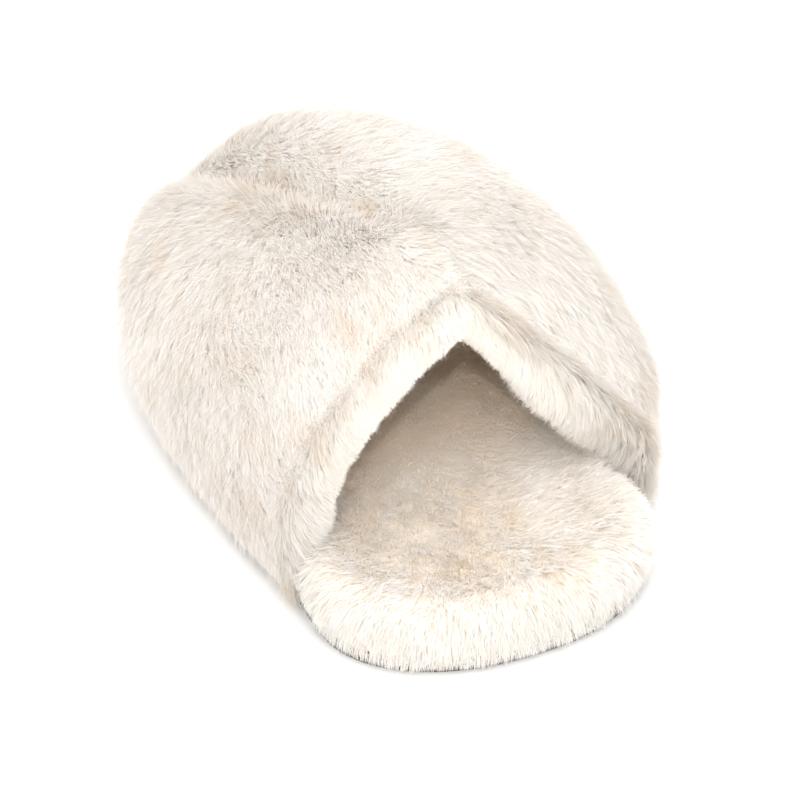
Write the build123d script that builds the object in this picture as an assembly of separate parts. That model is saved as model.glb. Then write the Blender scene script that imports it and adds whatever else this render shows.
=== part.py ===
from build123d import *
import math
import os

# ---------------------------------------------------------------------------
# Fluffy open-back house slipper (mule), right foot, millimetres.
# +Z up, +Y from heel to toe, origin at the bottom centre of the whole slipper.
# The working frame below has the heel end at y = 0 and the ground at z = 0;
# everything is recentred at the end.
# ---------------------------------------------------------------------------

# ---- driving dimensions ----------------------------------------------------
LENGTH = 253.0          # heel fur to toe fur
Y_THROAT = 61.0         # plane where the vamp meets the cuff
COLLAR_DEPTH = 10.0       # how far the cuff rolls back from that plane
Z_WAIST = 30.0            # height of the widest line of the vamp
TUCK = 5.0              # how far the vamp tucks back in at the ground
AXIS_X = -7.6            # the seam's x at the throat
TOE_SHIFT = -24.0         # inward curve of the toe along the seam
HEEL_X = -9.0            
HEEL_HALF = 58.5         # half width of the heel pad with its pile
HEEL_Y = 42.0           # widest point of the heel pad
HEEL_POW = 0.93         # roundness of the heel outline
# stations from the throat (0) to the toe (1) and the half widths there
STATIONS = [0.0, 0.17, 0.33, 0.49, 0.65, 0.80, 0.92]
HALF_LEFT = [63.5, 68.0, 69.0, 66.5, 59.0, 51.0, 44.5]
HALF_RIGHT = [71.5, 88.5, 90.5, 85.5, 79.5, 75.0, 70.0]
SEAM = [105.0, 106.5, 96.5, 85.0, 75.0, 66.0, 60.0]         # height of the centre seam
CROWN_LEFT = [105.0, 106.5, 98.5, 90.0, 80.5, 70.5, 61.5]    # top of the left puff
CROWN_RIGHT = [105.5, 107.5, 103.5, 100.0, 96.0, 90.5, 83.0]  # top of the right puff
VALLEY_WIDTH = (15.0, 7.0)      # width of the seam's valley, left and right
END_POW = 2.0             # toe roundness in plan
END_POW_Z = 3.1          # toe roundness in side view
SHAPE_LEFT = (1.27, 1.60)    # arch shape at the throat, left and right
SHAPE_RIGHT = (1.05, 1.03) 
SHAPE_TOE_LEFT = (1.95, 1.85) 
SHAPE_TOE_RIGHT = (2.8, 2.6) 
TOE_TURN = 2.5             # the sole's long axis, turned onto +Y

T_FUR = 8.5               # outer plush with its backing
T_TAPE = (8.7, 9.2)     # tape under the centre seam
T_PAD = (9.4, 12.8)       # wadding, thinnest under the seam
T_LINING = (13.1, 18.0)  # plush lining
SEAM_GAP = 0.8            # thread gap between the two vamp halves

Z_OUTSOLE = 5.0
Z_MARGIN = (5.05, 6.25)   # vamp margin lasted under the midsole
Z_MIDSOLE = (6.9, 13.0)
Z_BOARD = (13.05, 14.6)
Z_FOAM = (14.65, 20.0)
Z_COVER = (20.05, 27.0)
OUTSOLE_INSET = 2.0
STACK_INSET = 9.9
TREAD_DEPTH = 1.6

os.makedirs("parts", exist_ok=True)


# ---- curve helpers -----------------------------------------------------------
def monotone(xs, ys, x):
    """Monotone cubic through the points, held flat past the ends."""
    if x <= xs[0]:
        return ys[0]
    if x >= xs[-1]:
        return ys[-1]
    n = len(xs)
    h = [xs[i + 1] - xs[i] for i in range(n - 1)]
    d = [(ys[i + 1] - ys[i]) / h[i] for i in range(n - 1)]
    m = [0.0] * n
    for i in range(1, n - 1):
        if d[i - 1] * d[i] > 0:
            w1, w2 = 2 * h[i] + h[i - 1], h[i] + 2 * h[i - 1]
            m[i] = (w1 + w2) / (w1 / d[i - 1] + w2 / d[i])
    m[0], m[-1] = d[0], d[-1]
    i = max(k for k in range(n - 1) if xs[k] <= x)
    t = (x - xs[i]) / h[i]
    return ((1 + 2 * t) * (1 - t) ** 2 * ys[i] + t * (1 - t) ** 2 * h[i] * m[i]
            + t * t * (3 - 2 * t) * ys[i + 1] + t * t * (t - 1) * h[i] * m[i + 1])


def table(values, y):
    ys = [Y_THROAT + f * (LENGTH - Y_THROAT) for f in STATIONS]
    return monotone(ys, values, y)


Y_ROUND = Y_THROAT + 0.62 * (LENGTH - Y_THROAT)


def fade(y, end, power):
    e = min(max((y - Y_ROUND) / (end - Y_ROUND), 0.0), 1.0)
    return max(1 - e ** power, 0.0) ** (1 / power)


def seam_x(y):
    return AXIS_X + TOE_SHIFT * min(max((y - 90) / (LENGTH - 90), 0), 1) ** 2


def arch_point(y, t, s, y_shape=None):
    """Point of the arch at depth t under the pile; s runs -1 (left) to 1."""
    ys = y if y_shape is None else y_shape
    end = LENGTH - t
    g, h = fade(y, end, END_POW), fade(y, end, END_POW_Z)
    creased = t <= 11.0
    seam = table(SEAM, ys)
    crown = max(table(CROWN_LEFT if s < 0 else CROWN_RIGHT, ys), seam)
    top = (crown if creased else seam) - 1.15 * t
    dip = (crown - seam) * h if creased else 0.0
    valley_width = VALLEY_WIDTH[0 if s < 0 else 1]
    top = Z_WAIST + (top - Z_WAIST) * h
    half = (table(HALF_LEFT, ys) if s < 0 else table(HALF_RIGHT, ys)) - t
    k = min(max((ys - Y_THROAT) / (0.6 * (LENGTH - Y_THROAT)), 0), 1)
    a0, b0 = SHAPE_LEFT if s < 0 else SHAPE_RIGHT
    a1, b1 = SHAPE_TOE_LEFT if s < 0 else SHAPE_TOE_RIGHT
    a = a0 + (a1 - a0) * k
    b = b0 + (b1 - b0) * k
    xi = abs(math.sin(s * math.pi / 2))
    z = Z_WAIST + (top - Z_WAIST) * max(1 - xi ** a, 0) ** (1 / b)
    x = half * g * xi * (1 if s > 0 else -1)
    z -= dip * math.exp(-(abs(x) / (valley_width + 0.7 * t)) ** 1.3)
    return seam_x(ys) + x, max(z, Z_WAIST - 1)


def wall_half(y, t, z, side, y_shape=None):
    """Half width of the tucked-in lower wall at height z."""
    ys = y if y_shape is None else y_shape
    half = (table(HALF_LEFT, ys) if side < 0 else table(HALF_RIGHT, ys)) - t
    q = min(max((Z_WAIST - z) / (Z_WAIST - 4.0), 0), 1)
    return (half - TUCK * (1 - math.sqrt(1 - q * q))) * fade(y, LENGTH - t, END_POW)


S_STEPS = [-1, -0.9, -0.78, -0.64, -0.5, -0.36, -0.24, -0.14, -0.06, 0,
           0.06, 0.14, 0.24, 0.36, 0.5, 0.64, 0.78, 0.9, 1]


def arch_wire(y, t, z_low, y_shape=None):
    ys = y if y_shape is None else y_shape
    low = [z_low + (Z_WAIST - z_low) * f for f in (0, 0.35, 0.7)]
    pts = [(seam_x(ys) - wall_half(y, t, z, -1, y_shape), y, z) for z in low]
    for s in S_STEPS:
        x, z = arch_point(y, t, s, y_shape)
        pts.append((x, y, z))
    pts += [(seam_x(ys) + wall_half(y, t, z, 1, y_shape), y, z) for z in reversed(low)]
    top = Edge.make_spline([Vector(*p) for p in pts])
    base = Edge.make_line(Vector(*pts[-1]), Vector(*pts[0]))
    return Wire([top, base])


Z_BASE = 1.0
Y_BACK = Y_THROAT - 6.0


def dome(t):
    """Solid under the arch at depth t, closed by a small blunt toe."""
    end = LENGTH - t
    ys = [Y_BACK, Y_THROAT, 76, 96, 118, 140, 162, 182, 200]
    span = end - 200
    ys += [end - span * u * u for u in (0.82, 0.64, 0.47, 0.31, 0.17, 0.075)]
    wires = [arch_wire(y, t, Z_BASE, max(y, Y_THROAT)) for y in ys]
    return Solid.make_loft(wires)


def shell(t_out, t_in, z_low):
    """One layer of the vamp between two depths, trimmed at the throat and bottom."""
    trim = block(-150, 150, Y_THROAT + 0.4, LENGTH + 5, z_low, 170)
    return (dome(t_out) & trim) - dome(t_in)


def outline(d, toe_extra=0.0):
    """Closed sole outline, d inside the pile line at the ground."""
    end = LENGTH - d - toe_extra
    right, left = [], []
    n = 13
    for i in range(1, n + 1):
        u = i / n
        y = end - (end - (Y_THROAT + 6)) * u ** 2
        g = fade(y, end, END_POW)
        right.append((seam_x(y) + (table(HALF_RIGHT, y) - TUCK - d) * g, y))
        left.append((seam_x(y) - (table(HALF_LEFT, y) - TUCK - d) * g, y))
    heel = []
    for i in range(17):
        a = math.pi * i / 16
        c, q = math.cos(a), math.sin(a)
        hx = HEEL_X + (HEEL_HALF - d - 0.5) * math.copysign(abs(c) ** HEEL_POW, c)
        heel.append((hx, HEEL_Y - (HEEL_Y - d - 0.5) * q ** HEEL_POW))
    pts = [(seam_x(end), end)] + right + heel + left[::-1]
    edge = Edge.make_spline([Vector(x, y, 0) for x, y in pts], periodic=True)
    return Face(Wire([edge]))


def slab(face, z0, z1):
    return Solid.extrude(face.moved(Location((0, 0, z0))), Vector(0, 0, z1 - z0))


def block(x0, x1, y0, y1, z0, z1):
    return Solid.make_box(x1 - x0, y1 - y0, z1 - z0, Plane((x0, y0, z0)))


def side_region(side, gap, z0=-5, z1=160):
    """Everything left (-1) or right (+1) of the curved centre seam."""
    pts = [Vector(seam_x(y) + side * gap, y, z0)
           for y in (-20, 40, 90, 120, 150, 180, 210, 240, LENGTH + 10)]
    e = Edge.make_spline(pts)
    far = side * 140
    a, b = pts[-1], pts[0]
    path = [e, Edge.make_line(a, Vector(far, a.Y, z0)),
            Edge.make_line(Vector(far, a.Y, z0), Vector(far, b.Y, z0)),
            Edge.make_line(Vector(far, b.Y, z0), b)]
    return Solid.extrude(Face(Wire(path)), Vector(0, 0, z1 - z0))


def solids_of(shape):
    return [s for s in shape.solids() if s.volume > 0.5]


def only(shape):
    parts = sorted(solids_of(shape), key=lambda s: -s.volume)
    return parts[0]


def stick(p, direction, up, long, wide, tall):
    """A short stitch of thread: a small rounded bar."""
    pl = Plane(origin=p, x_dir=direction, z_dir=up)
    b = Solid.make_box(long, wide, tall, pl)
    return b.moved(Location(pl.location.position * 0 - (pl.x_dir * long / 2
                   + pl.y_dir * wide / 2 + pl.z_dir * tall / 2)))


parts = {}

# ---- sole stack ----------------------------------------------------------------
outsole = slab(outline(OUTSOLE_INSET, TUCK - 1), 0, Z_OUTSOLE)
# chevron tread grooves inside a plain rim
field = slab(outline(OUTSOLE_INSET + 7, TUCK - 1), -1, TREAD_DEPTH)
grooves = []
pitch, groove = 11.0, 3.2
for i in range(24):
    y = -8 + i * pitch
    pts = [(-95, y), (-5, y + 22), (85, y), (85, y + groove), (-5, y + 22 + groove),
           (-95, y + groove)]
    w = Wire.make_polygon([Vector(px, py, -1) for px, py in pts], close=True)
    grooves.append(Solid.extrude(Face(w), Vector(0, 0, 1 + TREAD_DEPTH)))
tread = Compound(children=grooves)
cut = [g & field for g in grooves]
for c in cut:
    for s in (c.solids() if c is not None else []):
        outsole = outsole - s
parts["outsole"] = only(outsole)

stack = outline(STACK_INSET)
parts["midsole"] = slab(stack, *Z_MIDSOLE)
parts["insole_board"] = slab(stack, *Z_BOARD)
parts["footbed_foam"] = slab(stack, *Z_FOAM)
stack_room = slab(outline(STACK_INSET - 0.2), Z_OUTSOLE + 0.02, Z_FOAM[1] + 0.04)

# ---- vamp layers ------------------------------------------------------------------
behind = block(-150, 150, -20, Y_THROAT + 0.4, -10, 170)
margin = (slab(outline(4.0), *Z_MARGIN) - slab(outline(22.0), 0, 10)) - behind
layers = {
    "outer": shell(0, T_FUR, Z_MARGIN[0]) + margin,
    "padding": shell(T_PAD[0], T_PAD[1], Z_MIDSOLE[0]) - stack_room,
    "lining": shell(T_LINING[0], T_LINING[1], Z_FOAM[1] + 0.15),
}
for side, word in ((-1, "left"), (1, "right")):
    region = side_region(side, SEAM_GAP / 2)
    for layer, shape in layers.items():
        parts["vamp_" + layer + "_" + word] = only(shape & region)
strip = side_region(-1, -4.0) & side_region(1, -4.0)
parts["centre_seam_tape"] = only(shell(T_TAPE[0], T_TAPE[1], 14) & strip)

# ---- cuff round the throat -------------------------------------------------------
def ring_loft(levels, z_low):
    return Solid.make_loft([arch_wire(y, t, z_low, Y_THROAT) for y, t in levels])


y1 = Y_THROAT - 0.2
y0 = Y_THROAT - COLLAR_DEPTH
body = ring_loft([(y0, 6.5), (y0 + 1.6, 3.0), (y0 + 5, 0.8), (y1, 0.0)], Z_MARGIN[0])
hole = ring_loft([(y0 - 1, 10.6), (y0 + 1.6, 14.8), (y0 + 5, 17.2), (y1 + 1, 18.0)], -4)
room = ring_loft([(y0 + 4.2, 5.6), (y0 + 6, 4.8), (y1 + 1, 4.7)], -4) \
    - ring_loft([(y0 + 4.0, 12.2), (y0 + 6, 13.2), (y1 + 1.2, 13.3)], -6)
roll = ring_loft([(y0 + 4.4, 5.8), (y0 + 6, 5.0), (y1, 4.9)], Z_MARGIN[0]) \
    - ring_loft([(y0 + 4.2, 12.0), (y0 + 6, 13.0), (y1 + 1.2, 13.1)], -6)
parts["throat_collar"] = only(((body - hole) - room) - stack_room)
parts["collar_padding"] = only(roll - slab(outline(STACK_INSET - 0.6), Z_OUTSOLE - 0.5, Z_FOAM[1] + 0.4))

# ---- footbed cover: a plush sock over the foam, wrapped round the heel -------------
def lobe_wire(z, d):
    pts = []
    edge_y = y0 - 0.3
    half = HEEL_HALF - d
    for i in range(19):
        a = math.pi * i / 18
        c, q = math.cos(a), math.sin(a)
        hx = HEEL_X + half * math.copysign(abs(c) ** HEEL_POW, c)
        hy = HEEL_Y - (HEEL_Y - d) * q ** HEEL_POW
        pts.append(Vector(hx, min(hy, edge_y - 0.5), z))
    e = Edge.make_spline(pts)
    a, b = pts[-1], pts[0]
    p1, p2 = Vector(a.X, edge_y, z), Vector(b.X, edge_y, z)
    return Wire([e, Edge.make_line(a, p1), Edge.make_line(p1, p2), Edge.make_line(p2, b)])


lobe = Solid.make_loft([lobe_wire(z, d) for z, d in
                        ((Z_OUTSOLE + 0.1, 1.6), (10, 0.3), (16, 0.0), (21, 1.2),
                         (24.5, 4.0), (26.2, 7.5), (27.0, 12.0))])
inner_pts_r, inner_pts_l = [], []
t_in = T_LINING[1] + 0.9
for i in range(1, 15):
    end = LENGTH - t_in - 0.8
    y = end - (end - 30) * (i / 14) ** 2
    yy = max(y, Y_THROAT)
    q = (Z_WAIST - Z_COVER[0]) / (Z_WAIST - 4.0)
    tuck = TUCK * (1 - math.sqrt(1 - q * q))
    g = fade(y, end, END_POW)
    inner_pts_r.append((seam_x(y) + (table(HALF_RIGHT, yy) - t_in - tuck) * g, y))
    inner_pts_l.append((seam_x(y) - (table(HALF_LEFT, yy) - t_in - tuck) * g, y))
end = LENGTH - t_in - 0.8
ring = inner_pts_l[::-1] + [(seam_x(end), end)] + inner_pts_r
e1 = Edge.make_spline([Vector(x, y, 0) for x, y in ring])
e2 = Edge.make_line(Vector(*inner_pts_r[-1], 0), Vector(*inner_pts_l[-1], 0))
sock = slab(Face(Wire([e1, e2])), *Z_COVER)
parts["footbed_cover"] = only((lobe + sock) - stack_room)

# ---- thread ----------------------------------------------------------------------
def centre_thread():
    out = []
    y = Y_THROAT + 5
    while y < LENGTH - 24:
        _, za = arch_point(y, 0, 0.0001)
        _, zb = arch_point(y + 1, 0, 0.0001)
        d = Vector(0, 1, zb - za).normalized()
        n = Vector(0, -d.Z, d.Y)
        p = Vector(seam_x(y), y, za) - n * 6.2
        out.append(stick(p, d, Vector(1, 0, 0), 2.4, 1.1, 0.5))
        y += 4.2 * d.Y
    return out


def collar_thread():
    out = []
    n = 44
    for i in range(n + 1):
        s = -0.985 + 1.97 * i / n
        xa, za = arch_point(Y_THROAT, 6.5, s)
        xb, zb = arch_point(Y_THROAT, 6.5, s + 0.01)
        d = Vector(xb - xa, 0, zb - za).normalized()
        out.append(stick(Vector(xa, Y_THROAT + 0.1, za), d, Vector(0, 1, 0), 2.4, 1.0, 0.36))
    return out


def lasting_thread():
    """Zigzag thread holding the vamp margin, in the gap under the midsole."""
    out = []
    base = outline(18.5).outer_wire()
    n = int(base.length / 6.0)
    for i in range(n):
        p = base.position_at(i / n)
        d = base.tangent_at(i / n)
        if p.Y > Y_THROAT + 8:
            a = math.atan2(d.Y, d.X) + (0.7 if i % 2 else -0.7)
            out.append(stick(Vector(p.X, p.Y, 6.58), Vector(math.cos(a), math.sin(a), 0),
                             Vector(0, 0, 1), 5.2, 0.8, 0.4))
    return out


parts["centre_seam_stitches"] = Compound(children=centre_thread())
parts["collar_seam_stitches"] = Compound(children=collar_thread())
parts["lasting_stitches"] = Compound(children=lasting_thread())

# ---- recentre and write --------------------------------------------------------------
parts = {name: shape.rotate(Axis.Z, -TOE_TURN) for name, shape in parts.items()}
boxes = [p.bounding_box() for p in parts.values()]
x_mid = (min(b.min.X for b in boxes) + max(b.max.X for b in boxes)) / 2
y_mid = (min(b.min.Y for b in boxes) + max(b.max.Y for b in boxes)) / 2
shift = Location((-x_mid, -y_mid, 0))
print("shift", round(-x_mid, 3), round(-y_mid, 3))
for name, shape in parts.items():
    shape = shape.moved(shift)
    export_step(shape, "parts/" + name + ".step")
    b = shape.bounding_box()
    print(name, "vol", round(shape.volume / 1000, 2), "cm3", [round(v, 1) for v in
          (b.min.X, b.max.X, b.min.Y, b.max.Y, b.min.Z, b.max.Z)])
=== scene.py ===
import math

import bpy
import numpy as np
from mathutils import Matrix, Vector
from mathutils.kdtree import KDTree


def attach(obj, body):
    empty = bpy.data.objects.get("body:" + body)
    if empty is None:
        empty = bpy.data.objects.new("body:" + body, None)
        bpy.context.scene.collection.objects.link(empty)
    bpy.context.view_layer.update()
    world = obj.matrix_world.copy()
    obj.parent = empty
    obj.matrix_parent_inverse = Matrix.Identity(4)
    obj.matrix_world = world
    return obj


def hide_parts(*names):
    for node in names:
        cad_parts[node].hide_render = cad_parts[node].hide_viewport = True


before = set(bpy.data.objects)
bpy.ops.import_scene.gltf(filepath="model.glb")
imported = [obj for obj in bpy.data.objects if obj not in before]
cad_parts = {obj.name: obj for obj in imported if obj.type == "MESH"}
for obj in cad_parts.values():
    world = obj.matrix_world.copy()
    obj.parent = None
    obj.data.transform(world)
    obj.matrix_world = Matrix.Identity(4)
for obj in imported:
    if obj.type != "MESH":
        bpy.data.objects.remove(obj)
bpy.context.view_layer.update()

# ---------------------------------------------------------------------------
# Looks of the fluffy house slipper. The pile is real geometry: thousands of
# thin tapered strands rooted in a backing skin. Shapes are worked out in the
# slipper's working frame in millimetres (heel end y = 0, ground z = 0) and
# moved into the shared frame in metres at the end.
# ---------------------------------------------------------------------------
rng = np.random.default_rng(20417)
MM = 0.001
TURN = math.radians(2.5)
SHIFT = (-7.546, -127.128)

LENGTH = 253.0
Y_THROAT = 61.0
Z_WAIST = 30.0
TUCK = 5.0
AXIS_X = -7.6
TOE_SHIFT = -24.0
HEEL_X = -9.0
HEEL_HALF = 58.5
HEEL_Y = 42.0
HEEL_POW = 0.93
STATIONS = [0.0, 0.17, 0.33, 0.49, 0.65, 0.80, 0.92]
HALF_LEFT = [63.5, 68.0, 69.0, 66.5, 59.0, 51.0, 44.5]
HALF_RIGHT = [71.5, 88.5, 90.5, 85.5, 79.5, 75.0, 70.0]
SEAM = [105.0, 106.5, 96.5, 85.0, 75.0, 66.0, 60.0]
CROWN_LEFT = [105.0, 106.5, 98.5, 90.0, 80.5, 71.5, 65.0]
CROWN_RIGHT = [105.5, 107.5, 103.5, 100.0, 96.0, 90.5, 83.0]
VALLEY_LEFT, VALLEY_RIGHT = 15.0, 7.0
END_POW = 2.0
END_POW_Z = 3.1
SHAPE_LEFT, SHAPE_RIGHT = (1.27, 1.60), (1.05, 1.03)
SHAPE_TOE_LEFT, SHAPE_TOE_RIGHT = (1.95, 1.85), (2.8, 2.6)
Y_ROUND = Y_THROAT + 0.62 * (LENGTH - Y_THROAT)


# ---- shape functions, on arrays ------------------------------------------------
def monotone(xs, ys, x):
    xs, ys = np.asarray(xs, float), np.asarray(ys, float)
    h = np.diff(xs)
    d = np.diff(ys) / h
    m = np.zeros(len(xs))
    for i in range(1, len(xs) - 1):
        if d[i - 1] * d[i] > 0:
            w1, w2 = 2 * h[i] + h[i - 1], h[i] + 2 * h[i - 1]
            m[i] = (w1 + w2) / (w1 / d[i - 1] + w2 / d[i])
    m[0], m[-1] = d[0], d[-1]
    x = np.clip(np.asarray(x, float), xs[0], xs[-1])
    i = np.clip(np.searchsorted(xs, x, side="right") - 1, 0, len(xs) - 2)
    t = (x - xs[i]) / h[i]
    return ((1 + 2 * t) * (1 - t) ** 2 * ys[i] + t * (1 - t) ** 2 * h[i] * m[i]
            + t * t * (3 - 2 * t) * ys[i + 1] + t * t * (t - 1) * h[i] * m[i + 1])


STATION_Y = [Y_THROAT + f * (LENGTH - Y_THROAT) for f in STATIONS]


def table(values, y):
    return monotone(STATION_Y, values, y)


def fade(y, end, power):
    e = np.clip((y - Y_ROUND) / (end - Y_ROUND), 0.0, 1.0)
    return np.maximum(1 - e ** power, 0.0) ** (1 / power)


def seam_x(y):
    return AXIS_X + TOE_SHIFT * np.clip((y - 90) / (LENGTH - 90), 0, 1) ** 2


def arch_point(y, t, s, y_shape=None):
    ys = y if y_shape is None else y_shape
    end = LENGTH - t
    g, h = fade(y, end, END_POW), fade(y, end, END_POW_Z)
    creased = np.clip((13.0 - t) / 4.0, 0, 1)
    seam = table(SEAM, ys)
    rise = np.maximum(np.where(s < 0, table(CROWN_LEFT, ys), table(CROWN_RIGHT, ys)) - seam, 0) * creased
    top = seam + rise - 1.15 * t
    dip = rise * h
    valley_width = np.where(s < 0, VALLEY_LEFT, VALLEY_RIGHT)
    top = Z_WAIST + (top - Z_WAIST) * h
    half = np.where(s < 0, table(HALF_LEFT, ys), table(HALF_RIGHT, ys)) - t
    k = np.clip((ys - Y_THROAT) / (0.6 * (LENGTH - Y_THROAT)), 0, 1)
    a = np.where(s < 0, SHAPE_LEFT[0] + (SHAPE_TOE_LEFT[0] - SHAPE_LEFT[0]) * k,
                 SHAPE_RIGHT[0] + (SHAPE_TOE_RIGHT[0] - SHAPE_RIGHT[0]) * k)
    b = np.where(s < 0, SHAPE_LEFT[1] + (SHAPE_TOE_LEFT[1] - SHAPE_LEFT[1]) * k,
                 SHAPE_RIGHT[1] + (SHAPE_TOE_RIGHT[1] - SHAPE_RIGHT[1]) * k)
    xi = np.abs(np.sin(s * np.pi / 2))
    z = Z_WAIST + (top - Z_WAIST) * np.maximum(1 - xi ** a, 0) ** (1 / b)
    x = half * g * xi * np.sign(s)
    z = z - dip * np.exp(-(np.abs(x) / (valley_width + 0.7 * t)) ** 1.3)
    return seam_x(ys) + x, np.maximum(z, Z_WAIST - 1)


def wall_half(y, t, z, side, y_shape=None):
    ys = y if y_shape is None else y_shape
    half = np.where(side < 0, table(HALF_LEFT, ys), table(HALF_RIGHT, ys)) - t
    q = np.clip((Z_WAIST - z) / (Z_WAIST - 4.0), 0, 1)
    return (half - TUCK * (1 - np.sqrt(1 - q * q))) * fade(y, LENGTH - t, END_POW)


def hull(y, t, w, z_low, y_shape=None):
    """Point of the shell at depth t. w runs from -1 (left foot of the wall) over the
    seam (0) to +1 (right foot). The last 0.2 at each end is the lower wall."""
    y, t, w = np.broadcast_arrays(np.asarray(y, float), np.asarray(t, float), np.asarray(w, float))
    ys = y if y_shape is None else np.broadcast_to(np.asarray(y_shape, float), y.shape)
    side = np.where(w < 0, -1.0, 1.0)
    s = np.clip(np.abs(w) / 0.8, 0, 1)
    ax, az = arch_point(y, t, np.where(w < 0, -s, s) + 0.0, ys)
    f = np.clip((np.abs(w) - 0.8) / 0.2, 0, 1)
    z = Z_WAIST + (z_low - Z_WAIST) * f
    wx = seam_x(ys) + side * wall_half(y, t, z, side, ys)
    low = np.abs(w) > 0.8
    return np.stack([np.where(low, wx, ax), y, np.where(low, z, az)], -1)


def lobe_xy(a, d):
    """Heel outline at inset d; a from 0 (right) to pi (left), and a little past both."""
    ac = np.clip(a, 0, np.pi)
    c, q = np.cos(ac), np.sin(ac)
    x = HEEL_X + (HEEL_HALF - d) * np.sign(c) * np.abs(c) ** HEEL_POW
    y = HEEL_Y - (HEEL_Y - d) * np.abs(q) ** HEEL_POW
    over = np.maximum(-a, 0) + np.maximum(a - np.pi, 0)
    return x, y + over * 97.0


def unit(v):
    return v / np.maximum(np.linalg.norm(v, axis=-1, keepdims=True), 1e-9)


_waves = np.random.default_rng(77)
_DIR = unit(_waves.normal(size=(24, 3)))
_PH = _waves.uniform(0, 2 * np.pi, 24)


def noise(p, scale, seed=0):
    """Smooth value from about -1 to 1 that varies over `scale` millimetres."""
    out = np.zeros(len(p))
    for i in range(7):
        k = (i * 5 + seed * 7) % 24
        f = 2 * np.pi / scale * (0.6 + 0.22 * i)
        out += np.sin(p @ _DIR[k] * f + _PH[(k + seed) % 24] + 1.3 * np.sin(p @ _DIR[(k + 3) % 24] * f * 0.6))
    return out / 3.2


def step(lo, hi, x):
    t = np.clip((x - lo) / (hi - lo), 0, 1)
    return t * t * (3 - 2 * t)


def to_frame(p):
    """Working frame, mm, to the shared frame, metres."""
    c, s = math.cos(TURN), math.sin(TURN)
    q = np.empty_like(p)
    q[..., 0] = (p[..., 0] * c + p[..., 1] * s + SHIFT[0]) * MM
    q[..., 1] = (-p[..., 0] * s + p[..., 1] * c + SHIFT[1]) * MM
    q[..., 2] = p[..., 2] * MM
    return q


def turn_frame(n):
    c, s = math.cos(TURN), math.sin(TURN)
    q = np.empty_like(n)
    q[..., 0] = n[..., 0] * c + n[..., 1] * s
    q[..., 1] = -n[..., 0] * s + n[..., 1] * c
    q[..., 2] = n[..., 2]
    return q


# ---- materials --------------------------------------------------------------------
def shader(name):
    m = bpy.data.materials.new(name)
    m.use_nodes = True
    return m, m.node_tree, m.node_tree.nodes["Principled BSDF"]


def fibre(name, rgb, rough=0.8, sheen=0.25):
    m, nt, p = shader(name)
    p.inputs["Base Color"].default_value = (*rgb, 1)
    p.inputs["Roughness"].default_value = rough
    p.inputs["Specular IOR Level"].default_value = 0.25
    p.inputs["Sheen Weight"].default_value = sheen
    p.inputs["Sheen Roughness"].default_value = 0.5
    return m


def cloth(name, low, high, scale, bump=0.3, rough=0.95, fine=900.0, bump_mm=0.4, sheen=0.0):
    """Mottled textile: two tones by noise, a fine grain, and bump from the same grain."""
    m, nt, p = shader(name)
    n, l = nt.nodes, nt.links
    coord = n.new("ShaderNodeTexCoord")
    big = n.new("ShaderNodeTexNoise")
    big.inputs["Scale"].default_value = scale
    big.inputs["Detail"].default_value = 6
    grain = n.new("ShaderNodeTexNoise")
    grain.inputs["Scale"].default_value = fine
    grain.inputs["Detail"].default_value = 3
    ramp = n.new("ShaderNodeValToRGB")
    ramp.color_ramp.elements[0].position = 0.3
    ramp.color_ramp.elements[0].color = (*low, 1)
    ramp.color_ramp.elements[1].position = 0.7
    ramp.color_ramp.elements[1].color = (*high, 1)
    mix = n.new("ShaderNodeMath")
    mix.operation = "MULTIPLY_ADD"
    mix.inputs[1].default_value = 0.45
    b = n.new("ShaderNodeBump")
    b.inputs["Strength"].default_value = bump
    b.inputs["Distance"].default_value = bump_mm * MM
    l.new(coord.outputs["Object"], big.inputs["Vector"])
    l.new(coord.outputs["Object"], grain.inputs["Vector"])
    l.new(grain.outputs["Fac"], mix.inputs[0])
    l.new(big.outputs["Fac"], mix.inputs[2])
    sub = n.new("ShaderNodeMath")
    sub.operation = "SUBTRACT"
    sub.inputs[1].default_value = 0.22
    l.new(mix.outputs[0], sub.inputs[0])
    l.new(sub.outputs[0], ramp.inputs["Fac"])
    l.new(ramp.outputs["Color"], p.inputs["Base Color"])
    l.new(grain.outputs["Fac"], b.inputs["Height"])
    l.new(b.outputs["Normal"], p.inputs["Normal"])
    p.inputs["Roughness"].default_value = rough
    p.inputs["Specular IOR Level"].default_value = 0.2
    p.inputs["Sheen Weight"].default_value = sheen
    return m


WHITE = (0.95, 0.932, 0.91)
CREAM = (0.94, 0.912, 0.88)
WARM = (0.92, 0.872, 0.815)
TAN = (0.86, 0.76, 0.63)
# Fifth tone of each palette: painted shade for the depth of the pile, put on the root segment of a share of strands
ROOT_SHADE = (0.925, 0.875, 0.81)
outer_fibres = [fibre("pile_white", WHITE), fibre("pile_cream", CREAM), fibre("pile_warm", WARM),
                fibre("pile_tan", TAN), fibre("pile_root_shade", ROOT_SHADE)]
# Cuff palette: the same fur as the vamp, made a few percent darker; painted shade that holds back the stronger light
# on the cuff, also used on the lower rim of the footbed
cuff_shaded_fibres = [fibre("cuff_shaded_white", (0.88, 0.86, 0.83)), fibre("cuff_shaded_cream", (0.87, 0.84, 0.80)),
               fibre("cuff_shaded_warm", (0.855, 0.805, 0.745)), fibre("cuff_shaded_tan", (0.83, 0.73, 0.605)),
               fibre("cuff_root_shade", (0.885, 0.825, 0.75))]
bed_fibres = [fibre("bed_white", (0.95, 0.93, 0.905)), fibre("bed_cream", (0.94, 0.91, 0.875)),
              fibre("bed_warm", (0.925, 0.87, 0.80)), fibre("bed_tan", (0.86, 0.77, 0.65)),
              fibre("bed_root_shade", (0.91, 0.855, 0.78))]
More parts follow.
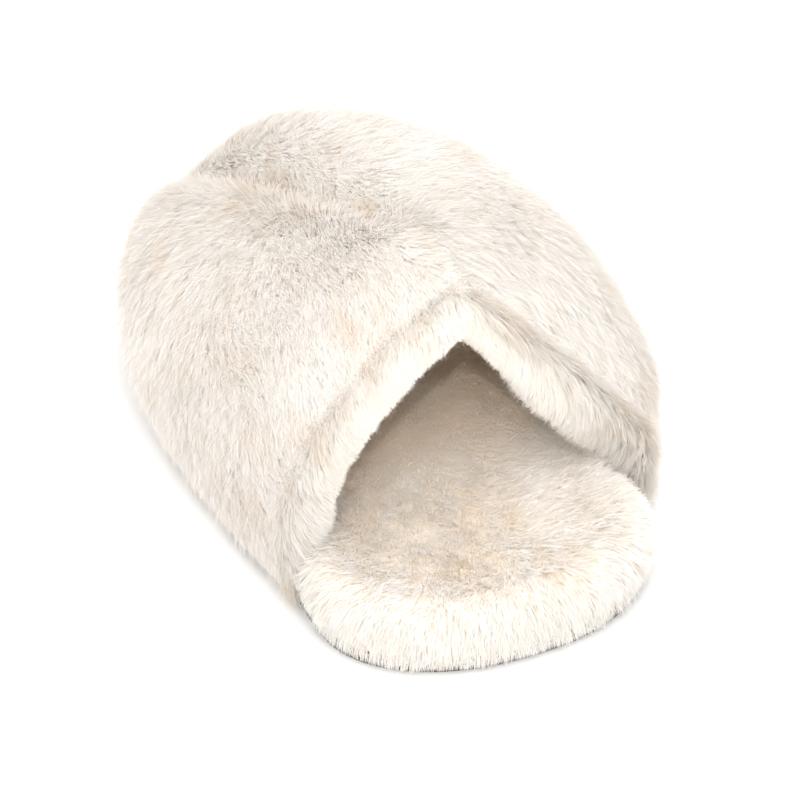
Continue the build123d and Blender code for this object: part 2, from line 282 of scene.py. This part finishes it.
# Lining palette and backing: warmer than the outer fur and kept pale; painted warm shade of the inside of the
# slipper, and painted bounce light that keeps it from going dark. The palette is also put under the cuff roll and
# deep on the footbed as painted shade.
lining_shade_fibres = [fibre("lining_shade_white", (0.975, 0.93, 0.865)), fibre("lining_shade_cream", (0.965, 0.905, 0.825)),
                 fibre("lining_shade_warm", (0.94, 0.86, 0.76)), fibre("lining_shade_tan", (0.88, 0.77, 0.64)),
                 fibre("lining_root_shade", (0.90, 0.81, 0.70))]
backing = cloth("plush_backing", (0.92, 0.87, 0.80), (0.955, 0.925, 0.885), 60, bump_mm=0.8)
bed_backing = cloth("footbed_backing", (0.90, 0.84, 0.75), (0.95, 0.91, 0.85), 90, bump_mm=0.8)
lining_shade_backing = cloth("lining_shade_backing", (0.90, 0.82, 0.72), (0.95, 0.89, 0.81), 60, bump_mm=0.8)


# ---- meshes ------------------------------------------------------------------------
def make_object(name, verts, faces, normals=None, mats=(), mat_index=None):
    """verts in the working frame, mm."""
    me = bpy.data.meshes.new(name)
    me.from_pydata(to_frame(verts).astype(np.float32), [], faces)
    for m in mats:
        me.materials.append(m)
    if mat_index is not None:
        me.polygons.foreach_set("material_index", mat_index.astype(np.int32))
    me.polygons.foreach_set("use_smooth", np.ones(len(faces), bool))
    me.update()
    if normals is not None:
        me.normals_split_custom_set_from_vertices(turn_frame(unit(normals)).astype(np.float32))
    ob = bpy.data.objects.new(name, me)
    bpy.context.scene.collection.objects.link(ob)
    return ob


class Skin:
    """A grid surface with what a pile needs at each point: position, outward normal,
    the direction along each grid axis, and any other values."""

    def __init__(self, grid, outward, **values):
        n, m = grid.shape[:2]
        self.n, self.m = n, m
        du, dv = np.gradient(grid, axis=0), np.gradient(grid, axis=1)
        nor = unit(np.cross(du, dv))
        flip = np.sign(np.sum(nor * outward, -1).mean())
        self.flip = flip
        ids = np.arange(n * m).reshape(n, m)
        a, b, c, d = ids[:-1, :-1], ids[1:, :-1], ids[1:, 1:], ids[:-1, 1:]
        tri = np.concatenate([np.stack([a, b, c], -1).reshape(-1, 3), np.stack([a, c, d], -1).reshape(-1, 3)])
        if flip < 0:
            tri = tri[:, ::-1]
        self.V = grid.reshape(-1, 3)
        self.tri = tri
        fn = np.cross(self.V[tri[:, 1]] - self.V[tri[:, 0]], self.V[tri[:, 2]] - self.V[tri[:, 0]])
        self.area = np.linalg.norm(fn, axis=1) / 2
        vn = np.zeros_like(self.V)
        for k in range(3):
            np.add.at(vn, tri[:, k], fn)
        self.N = unit(vn)
        self.values = {"du": unit(du).reshape(-1, 3), "dv": unit(dv).reshape(-1, 3)}
        for k, v in values.items():
            self.values[k] = np.asarray(v, float).reshape(n * m, -1)

    def quads(self):
        ids = np.arange(self.n * self.m).reshape(self.n, self.m)
        a, b, c, d = ids[:-1, :-1], ids[1:, :-1], ids[1:, 1:], ids[:-1, 1:]
        q = np.stack([a, b, c, d], -1).reshape(-1, 4)
        return q if self.flip > 0 else q[:, ::-1]

    def scatter(self, per_mm2, weight=None):
        w = self.area.copy()
        if weight is not None:
            w *= weight(self.V[self.tri].mean(1))
        count = int(w.sum() * per_mm2)
        pick = rng.choice(len(w), count, p=w / w.sum())
        r1, r2 = np.sqrt(rng.random(count)), rng.random(count)
        bary = np.stack([1 - r1, r1 * (1 - r2), r1 * r2], -1)[:, :, None]
        t = self.tri[pick]
        out = {"p": (self.V[t] * bary).sum(1), "n": unit((self.N[t] * bary).sum(1))}
        for k, v in self.values.items():
            out[k] = (v[t] * bary).sum(1)
        return out


def nearest(points, centres):
    tree = KDTree(len(centres))
    for i, c in enumerate(centres):
        tree.insert(c, i)
    tree.balance()
    return np.fromiter((tree.find(q)[1] for q in points), np.int64, len(points))


def pile(name, pts, comb, length, mats, width=0.34, lean=(42, 80), clump=3.2, hold=0.3,
         curl=0.0, segs=2, tone=0.5, root_shade_share=0.3, droop=0.0, frizz=0.09, roll=0.3, floor=0.6, stray=0.12, flat=1.0,
         inner=None):
    """Strands rooted at pts. comb is the way each lies; lean its angle from upright at
    the root and tip, in degrees; clump the spacing of tufts whose tips draw together."""
    n = len(pts["p"])
    root, nor = pts["p"], pts["n"]
    d = unit(comb - np.sum(comb * nor, -1, keepdims=True) * nor)
    side = np.cross(nor, d)
    # tufts
    groups = max(8, int(n * 1.0 / max(1.0, per_tuft(pts, clump))))
    centre = rng.choice(n, groups, replace=False)
    who = centre[nearest(root, root[centre])]
    turn = rng.normal(0, 0.09, n)[who] + rng.normal(0, 0.14, n)
    ang = np.radians(lean[0]) + rng.normal(0, frizz, n), np.radians(lean[1]) + rng.normal(0, frizz, n) + rng.normal(0, 0.08, n)[who]
    d = unit(d * np.cos(turn)[:, None] + side * np.sin(turn)[:, None])
    side = np.cross(nor, d)
    L = length * (1 + rng.normal(0, 0.05, n)[who]) * rng.uniform(0.72, 1.12, n)
    loose = rng.random(n) < stray
    ang = ang[0] * flat, ang[1] * flat
    ang = ang[0] - 0.35 * loose, ang[1] - 0.50 * loose
    bend = rng.normal(0, curl, (n, 2)) if curl else np.zeros((n, 2))
    path = [root]
    for k in range(segs):
        tau = (k + 0.5) / segs
        phi = ang[0] + (ang[1] - ang[0]) * tau
        v = nor * np.cos(phi)[:, None] + d * np.sin(phi)[:, None]
        v = v + side * (bend[:, :1] * math.cos(3.0 * tau) + bend[:, 1:] * math.sin(3.0 * tau))
        v[:, 2] -= np.asarray(droop) * tau
        path.append(path[-1] + unit(v) * (L / segs)[:, None])
    path = np.stack(path, 1)                       # n, segs+1, 3
    ks = np.linspace(0, 1, segs + 1) ** 1.3 * hold
    leader = path[who]
    for k in range(1, segs + 1):
        own = ks[k] * rng.uniform(0.6, 1.2, n) * (1 - loose)
        path[:, k] += (leader[:, k] - path[:, k]) * own[:, None]
    path[:, :, 2] = np.maximum(path[:, :, 2], floor)
    # a flat tapered blade, its broad face outward: a pair of points at each joint, one at the tip
    tang = unit(np.gradient(path, axis=1))
    across = unit(np.cross(tang, nor[:, None, :]))
    face = np.cross(across, tang)
    roll = rng.normal(0, roll, n)[:, None]
    wid = (width * rng.uniform(0.75, 1.25, n) * (1 - 0.30 * loose))[:, None]
    v = np.empty((n, 2 * segs + 1, 3))
    for k in range(segs):
        edge = (across[:, k] * np.cos(roll) + face[:, k] * np.sin(roll)) * wid * (0.5, 0.40, 0.30)[k]
        v[:, 2 * k] = path[:, k] - edge
        v[:, 2 * k + 1] = path[:, k] + edge
    v[:, -1] = path[:, -1]
    tris = []
    for k in range(segs - 1):
        tris += [(2 * k, 2 * k + 1, 2 * k + 3), (2 * k, 2 * k + 3, 2 * k + 2)]
    tris += [(2 * segs - 2, 2 * segs - 1, 2 * segs)]
    tris = np.array(tris)
    low_tris = 2
    faces = (np.arange(n)[:, None, None] * (2 * segs + 1) + tris[None]).reshape(-1, 3)
    # tones: 0 palest to 3 tan; 4 is painted shade put on the lowest segment of a share of strands, for the shade deep
    # in the pile
    shade = tone + 0.28 * noise(root, 26, 1) + 0.12 * noise(root, 9, 2) + rng.normal(0, 0.12, n)[who] + rng.normal(0, 0.17, n)
    pick = np.digitize(shade, [0.45, 0.80, 1.12])
    idx = np.repeat(pick[:, None], len(tris), 1)
    deep = rng.random(n) < root_shade_share
    idx[:, :low_tris][deep] = 4
    if inner is not None:
        idx[rng.random(n) < inner] += 5
    return make_object(name, v.reshape(-1, 3), faces, None, mats, idx.reshape(-1))


def per_tuft(pts, clump):
    """How many strands share a tuft of about `clump` mm."""
    return pts["density"] * clump * clump


def split(pts, parts, key):
    """Cuts a set of roots into equal parts along the values in key."""
    order = np.argsort(key)
    for chunk in np.array_split(order, parts):
        yield {k: (v[chunk] if isinstance(v, np.ndarray) else v) for k, v in pts.items()}


DENSE = 1.0
made = []


def finish_piece(ob, slot, *nodes):
    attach(ob, "root")
    if nodes:
        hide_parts(*nodes)
    made.append(ob)
    return ob


# ---- vamp ----------------------------------------------------------------------------
PILE_DEPTH = 2.8


def vamp_grid(t, side, z_low, ny=84, nw=72, y_start=Y_THROAT + 0.3):
    end = LENGTH - t
    u = np.linspace(0, 1, ny)
    y = y_start + (end - y_start) * (1 - (1 - u) ** 1.9)
    w = np.concatenate([np.linspace(0.002, 0.8, nw - 16), np.linspace(0.82, 1.0, 16)]) * side
    Y, W = np.meshgrid(y, w, indexing="ij")
    return hull(Y, t, W, z_low), Y, W


def vamp_skin(t, side, z_low, inward=False, **kw):
    g, Y, W = vamp_grid(t, side, z_low, **kw)
    c = np.stack([seam_x(Y), Y * 0.8 + 20, np.full_like(Y, 25.0)], -1)
    out = g - c
    return Skin(g, -out if inward else out, y=Y, w=np.abs(W))


for side, word in ((-1, "left"), (1, "right")):
    skin = vamp_skin(PILE_DEPTH, side, 5.3)
    ob = make_object("vamp_plush_" + word, skin.V, skin.quads(), None, [backing])
    finish_piece(ob, "plush_outer", "vamp_outer_" + word)
    dens = 9.0 * DENSE
    pts = skin.scatter(dens)
    pts["density"] = dens
    fy = (pts["y"][:, 0] - Y_THROAT) / (LENGTH - Y_THROAT)
    w = pts["w"][:, 0]
    heelward = -pts["du"]
    outward = pts["dv"]                     # from the seam to the ground
    toe = step(0.15, 0.75, fy)
    if side < 0:
        down = 0.15 + 0.75 * toe + 0.5 * step(0.72, 1.0, w)
        down *= step(0.0, 0.12, w) * 0.8 + 0.2
        down -= 0.45 * (1 - step(0.0, 0.07, w))
        back = 1.0 - 0.35 * toe
    else:
        down = 0.25 + 0.45 * toe + 0.6 * step(0.72, 1.0, w) - 0.75 * toe * (1 - step(0.02, 0.20, w)) - 0.45 * (1 - step(0.0, 0.07, w))
        back = 1.0 - 0.30 * toe
    swirl = 0.16 * noise(pts["p"], 62, 3) + 0.06 * noise(pts["p"], 24, 4)
    comb = heelward * back[:, None] + outward * down[:, None]
    comb = unit(comb) + np.cross(pts["n"], unit(comb)) * swirl[:, None]
    length = 10.5 * (1 + 0.06 * noise(pts["p"], 30, 5))
    length *= (1.0 if side < 0 else 0.84) + (0.0 if side < 0 else 0.16) * step(0, 9, pts["y"][:, 0] - Y_THROAT)      # shorter at the cuff seam
    length *= 0.80 + 0.20 * step(0.0, 0.06, w)
    length = length * (0.75 + 0.25 * step(4, 16, pts["p"][:, 2]))
    pts["length"] = length
    pts["comb"] = comb
    # Tan strands along the centre seam, in patches, and a band of them at the cuff seam: for the tan backing in the
    # partings, and painted shadow of the partings.
    tan_and_shade_patches = np.clip(noise(pts["p"], 17, 15) + 0.15, 0, 1)
    near = 1 - step(0.0, 0.045, w)
    # The left half starts at a darker tone (0.40) than the right (0.32): painted shade on the flank turned away from
    # the light.
    pts["tone"] = ((0.40 if side < 0 else 0.32) + (0.35 + 0.9 * tan_and_shade_patches) * near * step(0.05, 0.2, fy)
                   + 0.55 * (1 - step(0, 3.0, pts["y"][:, 0] - Y_THROAT)))
    pts["droop"] = 0.7 * (1 - step(6, 18, pts["p"][:, 2]))
    for i, part in enumerate(split(pts, 6, pts["y"][:, 0])):
        ob = pile("vamp_pile_%s_%s" % (word, "abcdef"[i]), part, part["comb"], part["length"], outer_fibres,
                  width=0.245, lean=(60, 85), clump=2.0, hold=0.08, tone=part["tone"], droop=part["droop"])
        finish_piece(ob, "plush_outer")


# ---- cuff -------------------------------------------------------------------------------
CUFF = [(2.2, 5.0), (0.6, 3.2), (-1.4, 2.8), (-3.8, 3.4), (-5.8, 5.2), (-6.8, 8.4), (-6.2, 11.4), (-4.0, 13.8),
        (-1.0, 15.2), (2.0, 16.0)]             # (y from the throat plane, depth)
nq, nw = 28, 150
q = np.linspace(0, 1, nq)
knots = np.linspace(0, 1, len(CUFF))
cy = Y_THROAT + np.interp(q, knots, [c[0] for c in CUFF])
ct = np.interp(q, knots, [c[1] for c in CUFF])
for _ in range(2):
    cy[1:-1] = (cy[:-2] + 2 * cy[1:-1] + cy[2:]) / 4
    ct[1:-1] = (ct[:-2] + 2 * ct[1:-1] + ct[2:]) / 4
ww = np.sin(np.linspace(-1, 1, nw) * np.pi / 2) * 0.5 + np.linspace(-1, 1, nw) * 0.5
W, Q = np.meshgrid(ww, q, indexing="ij")
CY, CT = np.interp(Q, q, cy), np.interp(Q, q, ct)
g = hull(CY, CT, W, 5.6, Y_THROAT)
mid = hull(np.full_like(CY, Y_THROAT + 2.0), np.full_like(CT, 9.5), W, 5.6, Y_THROAT)
skin = Skin(g, g - mid, q=Q, w=W)
ob = make_object("cuff_plush", skin.V, skin.quads(), None, [backing])
finish_piece(ob, "plush_collar", "throat_collar")
dens = 8.4 * DENSE
pts = skin.scatter(dens)
pts["density"] = dens
Qv, Wv = pts["q"][:, 0], pts["w"][:, 0]
comb = pts["dv"] + pts["du"] * (0.25 * noise(pts["p"], 34, 6))[:, None]
comb[:, 2] -= 0.25
reach = 4.2 - 1.4 * np.exp(-(Wv / 0.09) ** 2) + 6.6 * step(0.05, 0.35, Wv) + 1.5 * (1 - step(-0.8, -0.45, Wv))   # longer on the right
length = np.where(Qv < 0.4, 9.5, 0) + np.where(Qv >= 0.4, reach, 0)
length = length * (1 + 0.08 * noise(pts["p"], 20, 7)) * (0.6 + 0.4 * step(0.02, 0.16, Qv))
pts["comb"], pts["length"] = comb, length
pts["flat"] = 1 - 0.35 * step(0.35, 0.55, Qv)
# Tan strands next to the cuff seam: for the tan backing in the parting, and painted shadow of the parting.
pts["tone"] = 0.42 + 0.6 * (1 - step(0.02, 0.14, Qv))
# Toward the free edge and under the roll, a share of strands takes the lining palette: painted warm shade under the
# cuff roll.
pts["inner"] = 0.6 * step(0.6, 0.95, Qv)
for i, part in enumerate(split(pts, 4, pts["w"][:, 0])):
    ob = pile("cuff_pile_" + "abcd"[i], part, part["comb"], part["length"], cuff_shaded_fibres + lining_shade_fibres,
              flat=part["flat"], width=0.25, lean=(50, 82), clump=2.2, hold=0.12, tone=part["tone"], droop=0.25,
              root_shade_share=0.15, inner=part["inner"])
    finish_piece(ob, "plush_collar")


# ---- lining -----------------------------------------------------------------------------
for side, word in ((-1, "left"), (1, "right")):
    skin = vamp_skin(15.6, side, 21.0, inward=True, ny=60, nw=56)
    ob = make_object("lining_plush_" + word, skin.V, skin.quads(), None, [lining_shade_backing])
    finish_piece(ob, "plush_lining", "vamp_lining_" + word)
    dens = 2.4 * DENSE
    pts = skin.scatter(dens)
    pts["density"] = dens
    comb = -pts["du"] * 0.4 + pts["dv"] * 0.8 + unit(rng.normal(size=pts["n"].shape)) * 0.2
    comb = comb + np.cross(pts["n"], comb) * (0.4 * noise(pts["p"], 26, 8))[:, None]
    pts["comb"] = comb
    for i, part in enumerate(split(pts, 3, pts["y"][:, 0])):
        ob = pile("lining_pile_%s_%s" % (word, "abc"[i]), part, part["comb"], np.full(len(part["p"]), 6.5),
                  lining_shade_fibres, width=0.38, lean=(64, 85), clump=3.6, hold=0.30, tone=0.45)
        finish_piece(ob, "plush_lining")


# ---- footbed ------------------------------------------------------------------------------
LEVELS = [(5.4, 3.8), (10.0, 2.4), (15.0, 2.2), (19.4, 3.2), (22.4, 5.8), (24.3, 9.6), (25.0, 14.0)]
lev = np.linspace(0, 1, 22)
lk = np.linspace(0, 1, len(LEVELS))
lz, ld = np.interp(lev, lk, [v[0] for v in LEVELS]), np.interp(lev, lk, [v[1] for v in LEVELS])
for _ in range(2):
    lz[1:-1] = (lz[:-2] + 2 * lz[1:-1] + lz[2:]) / 4
    ld[1:-1] = (ld[:-2] + 2 * ld[1:-1] + ld[2:]) / 4
aa = np.linspace(-0.09, np.pi + 0.09, 90)
A, K = np.meshgrid(aa, lev, indexing="ij")
D, Z = np.interp(K, lev, ld), np.interp(K, lev, lz)
X, Y = lobe_xy(A, D)
g = np.stack([X, Y, Z], -1)
rim = Skin(g, g - np.array([HEEL_X, HEEL_Y, 10.0]), k=K)


def bed_bounds(y):
    """Left and right x of the top face at y."""
    c = np.clip((HEEL_Y - y) / (HEEL_Y - 11.0), 0, 1)
    qq = c ** (1 / HEEL_POW)
    hx = (HEEL_HALF - 11.0) * np.maximum(1 - qq * qq, 0) ** (HEEL_POW / 2)
    t_in = 17.6
    yy = np.maximum(y, Y_THROAT)
    end = LENGTH - t_in - 0.5
    gg = fade(y, end, END_POW)
    left = seam_x(y) - (table(HALF_LEFT, yy) - t_in - 1.0) * gg
    right = seam_x(y) + (table(HALF_RIGHT, yy) - t_in - 1.0) * gg
    f = step(Y_THROAT - 16, Y_THROAT + 2, y)
    return (HEEL_X - hx) * (1 - f) + left * f, (HEEL_X + hx) * (1 - f) + right * f


yy = 11.0 + (LENGTH - 18.2 - 11.0) * (0.5 - 0.5 * np.cos(np.linspace(0, np.pi, 110)))
ll, rr = bed_bounds(yy)
f = np.linspace(0, 1, 60)
Y, Fx = np.meshgrid(yy, f, indexing="ij")
X = ll[:, None] + (rr - ll)[:, None] * Fx
side_f = np.abs(Fx - 0.5) * 2
Zb = 25.0 + 1.6 * side_f ** 3 * step(44, 70, Y) + 0.8 * np.exp(-((Y - 45) / 38) ** 2 - ((X + 7) / 30) ** 2)
Zb -= 0.6 * np.maximum(side_f ** 10 * (1 - step(40, 60, Y)), 1 - step(11, 17, Y))      # down onto the rolled rim
flat = np.stack([X, Y, Zb], -1)
P = flat.reshape(-1, 3)
flat[..., 2] += (0.35 * noise(P * np.array([1, 1, 0]), 30, 9)).reshape(Y.shape)
top = Skin(flat, np.broadcast_to(np.array([0.0, 0.0, 1.0]), flat.shape), y=Y)

ob = make_object("footbed_rim_plush", rim.V, rim.quads(), None, [bed_backing])
finish_piece(ob, "plush_footbed", "footbed_cover")
ob = make_object("footbed_top_plush", top.V, top.quads(), None, [bed_backing])
finish_piece(ob, "plush_footbed")



def bed_comb(p):
    """The way the footbed pile lies: toward the heel, fanning outward at the sides of the pad."""
    u = (p[:, 0] - HEEL_X) / HEEL_HALF * (1 - step(50, 72, p[:, 1]))
    lie = np.stack([1.3 * u, -1 + 0.75 * u * u, np.zeros(len(p))], -1)
    lie[:, 0] += 0.45 * noise(p, 44, 12)
    lie[:, 1] += 0.30 * noise(p, 38, 13)
    return unit(lie) + unit(rng.normal(size=p.shape)) * 0.45


dens = 5.5 * DENSE
pts = rim.scatter(dens)
pts["density"] = dens
kv = pts["k"][:, 0]
down = np.zeros_like(pts["p"])
down[:, 2] = -1.0
pts["comb"] = unit(bed_comb(pts["p"])) * (0.35 + 0.65 * step(0.55, 0.95, kv))[:, None] + down * (1 - step(0.45, 0.9, kv))[:, None]
pts["droop"] = 0.9 * (1 - step(7, 17, pts["p"][:, 2]))
# The lower rim keeps the darker cuff palette, painted shade to hold back the light on the fringe; higher up the
# strands take the footbed palette.
pts["inner"] = step(0.40, 0.75, kv)
pts["length"] = 6.2 * (1 + 0.12 * noise(pts["p"], 14, 11)) * (1 + 0.3 * (1 - step(6, 10, pts["p"][:, 2])))
for i, part in enumerate(split(pts, 2, pts["p"][:, 0])):
    ob = pile("footbed_pile_rim_" + "ab"[i], part, part["comb"], part["length"], cuff_shaded_fibres + bed_fibres, width=0.28,
              lean=(38, 75), clump=2.4, hold=0.30, tone=0.42, curl=0.15, droop=part["droop"],
              inner=part["inner"])
    finish_piece(ob, "plush_footbed")

pts = top.scatter(dens, lambda c: np.where(c[:, 1] < 130, 1.0, 0.4))
pts["density"] = dens
pts["comb"] = bed_comb(pts["p"])
# Deeper in, under the vamp, strands take the lining palette: painted warm shade inside the slipper.
pts["inner"] = step(58, 105, pts["p"][:, 1] + 8 * noise(pts["p"], 30, 16))
deep_in = step(48, 82, pts["p"][:, 1])
pts["low"], pts["high"] = 38 + 24 * deep_in, 75 + 9 * deep_in
for i, part in enumerate(split(pts, 4, pts["y"][:, 0])):
    ob = pile("footbed_pile_top_" + "abcd"[i], part, part["comb"],
              6.0 * (1 + 0.12 * noise(part["p"], 16, 14)), bed_fibres + lining_shade_fibres, width=0.28,
              lean=(part["low"], part["high"]), clump=2.4, hold=0.30, tone=0.42, curl=0.15,
              inner=part["inner"])
    finish_piece(ob, "plush_footbed")


# ---- seams: a narrow tan welt in each parting: tan backing, and painted shadow of the parting ---
def welt(name, line, radius, mat, slot):
    """Thin lumpy round cord along a line of points, closed at both ends."""
    p = np.asarray(line)
    t = unit(np.gradient(p, axis=0))
    ref = np.array([0.0, 0.0, 1.0])
    a = unit(np.cross(t, ref + 0.01))
    b = np.cross(t, a)
    k = 7
    th = np.linspace(0, 2 * np.pi, k, endpoint=False)
    r = radius * (1 + 0.12 * np.sin(np.arange(len(p)) * 1.9))
    ring = p[:, None] + (a[:, None] * np.cos(th)[None, :, None] + b[:, None] * np.sin(th)[None, :, None]) * r[:, None, None]
    n = len(p)
    ids = np.arange(n * k).reshape(n, k)
    nx = np.roll(ids, -1, axis=1)
    faces = [tuple(x) for x in np.stack([ids[:-1], nx[:-1], nx[1:], ids[1:]], -1).reshape(-1, 4)]
    faces += [tuple(ids[0][::-1]), tuple(ids[-1])]
    ob = make_object(name, ring.reshape(-1, 3), faces, None, [mat])
    return finish_piece(ob, slot)


# The welts' tan colour stands in for the backing seen in the partings and is painted shadow of the partings as well.
welt_tan_and_shade_mat = cloth("seam_welt", (0.70, 0.55, 0.38), (0.84, 0.73, 0.58), 160, bump=0.6, fine=1800, bump_mm=0.3)
wl = np.linspace(-0.985, 0.985, 260)
welt("cuff_seam_welt", hull(np.full(260, Y_THROAT + 0.2), np.full(260, 3.2), wl, 5.6, Y_THROAT), 0.7, welt_tan_and_shade_mat, "thread")
yl = np.linspace(Y_THROAT + 2, LENGTH - 8, 200)
welt("centre_seam_welt", hull(yl, np.full(200, 4.4), np.full(200, 0.001), 5.6), 0.7, welt_tan_and_shade_mat, "thread")


# ---- carried-over CAD nodes ------------------------------------------------------------------
def give(node, mat):
    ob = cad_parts[node]
    ob.data.materials.clear()
    ob.data.materials.append(mat)


def rubber():
    m, nt, p = shader("outsole_rubber")
    n, l = nt.nodes, nt.links
    c = n.new("ShaderNodeTexCoord")
    a = n.new("ShaderNodeTexNoise")
    a.inputs["Scale"].default_value = 45
    a.inputs["Detail"].default_value = 8
    v = n.new("ShaderNodeTexVoronoi")
    v.inputs["Scale"].default_value = 900
    r = n.new("ShaderNodeValToRGB")
    r.color_ramp.elements[0].position, r.color_ramp.elements[1].position = 0.35, 0.7
    r.color_ramp.elements[0].color = (0.075, 0.072, 0.070, 1)
    r.color_ramp.elements[1].color = (0.125, 0.12, 0.115, 1)
    b = n.new("ShaderNodeBump")
    b.inputs["Strength"].default_value = 0.4
    b.inputs["Distance"].default_value = 0.0002
    rr = n.new("ShaderNodeMapRange")
    rr.inputs["To Min"].default_value, rr.inputs["To Max"].default_value = 0.55, 0.8
    l.new(c.outputs["Object"], a.inputs["Vector"])
    l.new(c.outputs["Object"], v.inputs["Vector"])
    l.new(a.outputs["Fac"], r.inputs["Fac"])
    l.new(r.outputs["Color"], p.inputs["Base Color"])
    l.new(a.outputs["Fac"], rr.inputs["Value"])
    l.new(rr.outputs[0], p.inputs["Roughness"])
    l.new(v.outputs["Distance"], b.inputs["Height"])
    l.new(b.outputs["Normal"], p.inputs["Normal"])
    return m


give("outsole", rubber())
give("midsole", cloth("eva_foam", (0.74, 0.72, 0.68), (0.84, 0.82, 0.78), 120, bump_mm=0.2))
give("insole_board", cloth("fibre_board", (0.54, 0.44, 0.31), (0.68, 0.58, 0.44), 220, bump_mm=0.2))
give("footbed_foam", cloth("open_foam", (0.82, 0.79, 0.72), (0.91, 0.89, 0.83), 300, bump_mm=0.5))
wad = cloth("wadding", (0.88, 0.87, 0.84), (0.96, 0.95, 0.93), 90, bump_mm=1.0)
for node in ("vamp_padding_left", "vamp_padding_right", "collar_padding"):
    give(node, wad)
give("centre_seam_tape", cloth("seam_tape", (0.70, 0.59, 0.45), (0.82, 0.72, 0.59), 260, fine=2200, bump_mm=0.2))
thread = cloth("thread", (0.72, 0.60, 0.45), (0.86, 0.76, 0.62), 400, fine=3000, bump_mm=0.15, rough=0.7)
for node in ("centre_seam_stitches", "collar_seam_stitches", "lasting_stitches"):
    give(node, thread)


# ---- stage, light, camera ----------------------------------------------------------------------
me = bpy.data.meshes.new("floor")
me.from_pydata([(-3, -3, 0), (3, -3, 0), (3, 3, 0), (-3, 3, 0)], [], [(0, 1, 2, 3)])
floor = bpy.data.objects.new("floor", me)
bpy.context.scene.collection.objects.link(floor)
m, nt, p = shader("floor_white")
p.inputs["Base Color"].default_value = (0.89, 0.89, 0.89, 1)
p.inputs["Roughness"].default_value = 1.0
p.inputs["Specular IOR Level"].default_value = 0.0
me.materials.append(m)

world = bpy.data.worlds.new("studio")
bpy.context.scene.world = world
world.use_nodes = True
world.node_tree.nodes["Background"].inputs["Color"].default_value = (1.0, 0.995, 0.985, 1)
wn, wl_ = world.node_tree.nodes, world.node_tree.links
sky, axis, rise = wn.new("ShaderNodeTexCoord"), wn.new("ShaderNodeSeparateXYZ"), wn.new("ShaderNodeMapRange")
rise.inputs["To Min"].default_value, rise.inputs["To Max"].default_value = 0.70, 1.48
wl_.new(sky.outputs["Generated"], axis.inputs[0])
wl_.new(axis.outputs["Z"], rise.inputs["Value"])
wl_.new(rise.outputs[0], wn["Background"].inputs["Strength"])


def area_light(name, pos, aim, size, power):
    li = bpy.data.lights.new(name, "AREA")
    li.shape = "SQUARE"
    li.size = size
    li.energy = power
    li.color = (1.0, 0.995, 0.985)
    ob = bpy.data.objects.new(name, li)
    ob.location = pos
    ob.rotation_euler = (Vector(aim) - Vector(pos)).to_track_quat("-Z", "Y").to_euler()
    bpy.context.scene.collection.objects.link(ob)
    return ob


th, el, dist = math.radians(26.98), math.radians(34.15), 1.0
fg = Vector((math.sin(th), math.cos(th), 0))
right = Vector((math.cos(th), -math.sin(th), 0))
up = fg * math.sin(el) + Vector((0, 0, 1)) * math.cos(el)
fwd = fg * math.cos(el) - Vector((0, 0, 1)) * math.sin(el)
target = Vector((-0.00210, 0.00286, 0.040)) + right * 0.00361 + up * -0.01976
area_light("front", target - fwd * 1.35 + up * 0.1, target, 0.9, 6.2)
area_light("top", target - fg * 0.62 + Vector((0, 0, 1.32)), target, 1.0, 5)
area_light("key", (0.9, 0.1, 1.5), (0, 0, 0.03), 1.4, 0.8)
li = bpy.data.lights.new("opening", "SPOT")
li.energy, li.shadow_soft_size, li.spot_size, li.spot_blend = 44, 0.04, math.radians(2.9), 0.9
li.color = (1.0, 0.935, 0.86)
spot = bpy.data.objects.new("opening", li)
spot.location = target - fwd * 1.0 + up * 0.06
spot.rotation_euler = (target + right * 0.0235 - up * 0.0150 - spot.location).to_track_quat("-Z", "Y").to_euler()
bpy.context.scene.collection.objects.link(spot)
cam = bpy.data.cameras.new("camera")
cam.lens, cam.sensor_width = 132.26, 36.0
cam.clip_start, cam.clip_end = 0.05, 20
cam_ob = bpy.data.objects.new("camera", cam)
cam_ob.location = target - fwd * dist
cam_ob.rotation_euler = fwd.to_track_quat("-Z", "Y").to_euler()
bpy.context.scene.collection.objects.link(cam_ob)
bpy.context.scene.camera = cam_ob
bpy.context.scene.view_settings.view_transform = "Standard"
bpy.context.scene.view_settings.look = "None"
bpy.context.scene.cycles.max_bounces = 16
bpy.context.scene.cycles.diffuse_bounces = 14

print("strand triangles:", sum(len(o.data.polygons) for o in made), "most", max(len(o.data.polygons) for o in made))
bpy.context.view_layer.update()
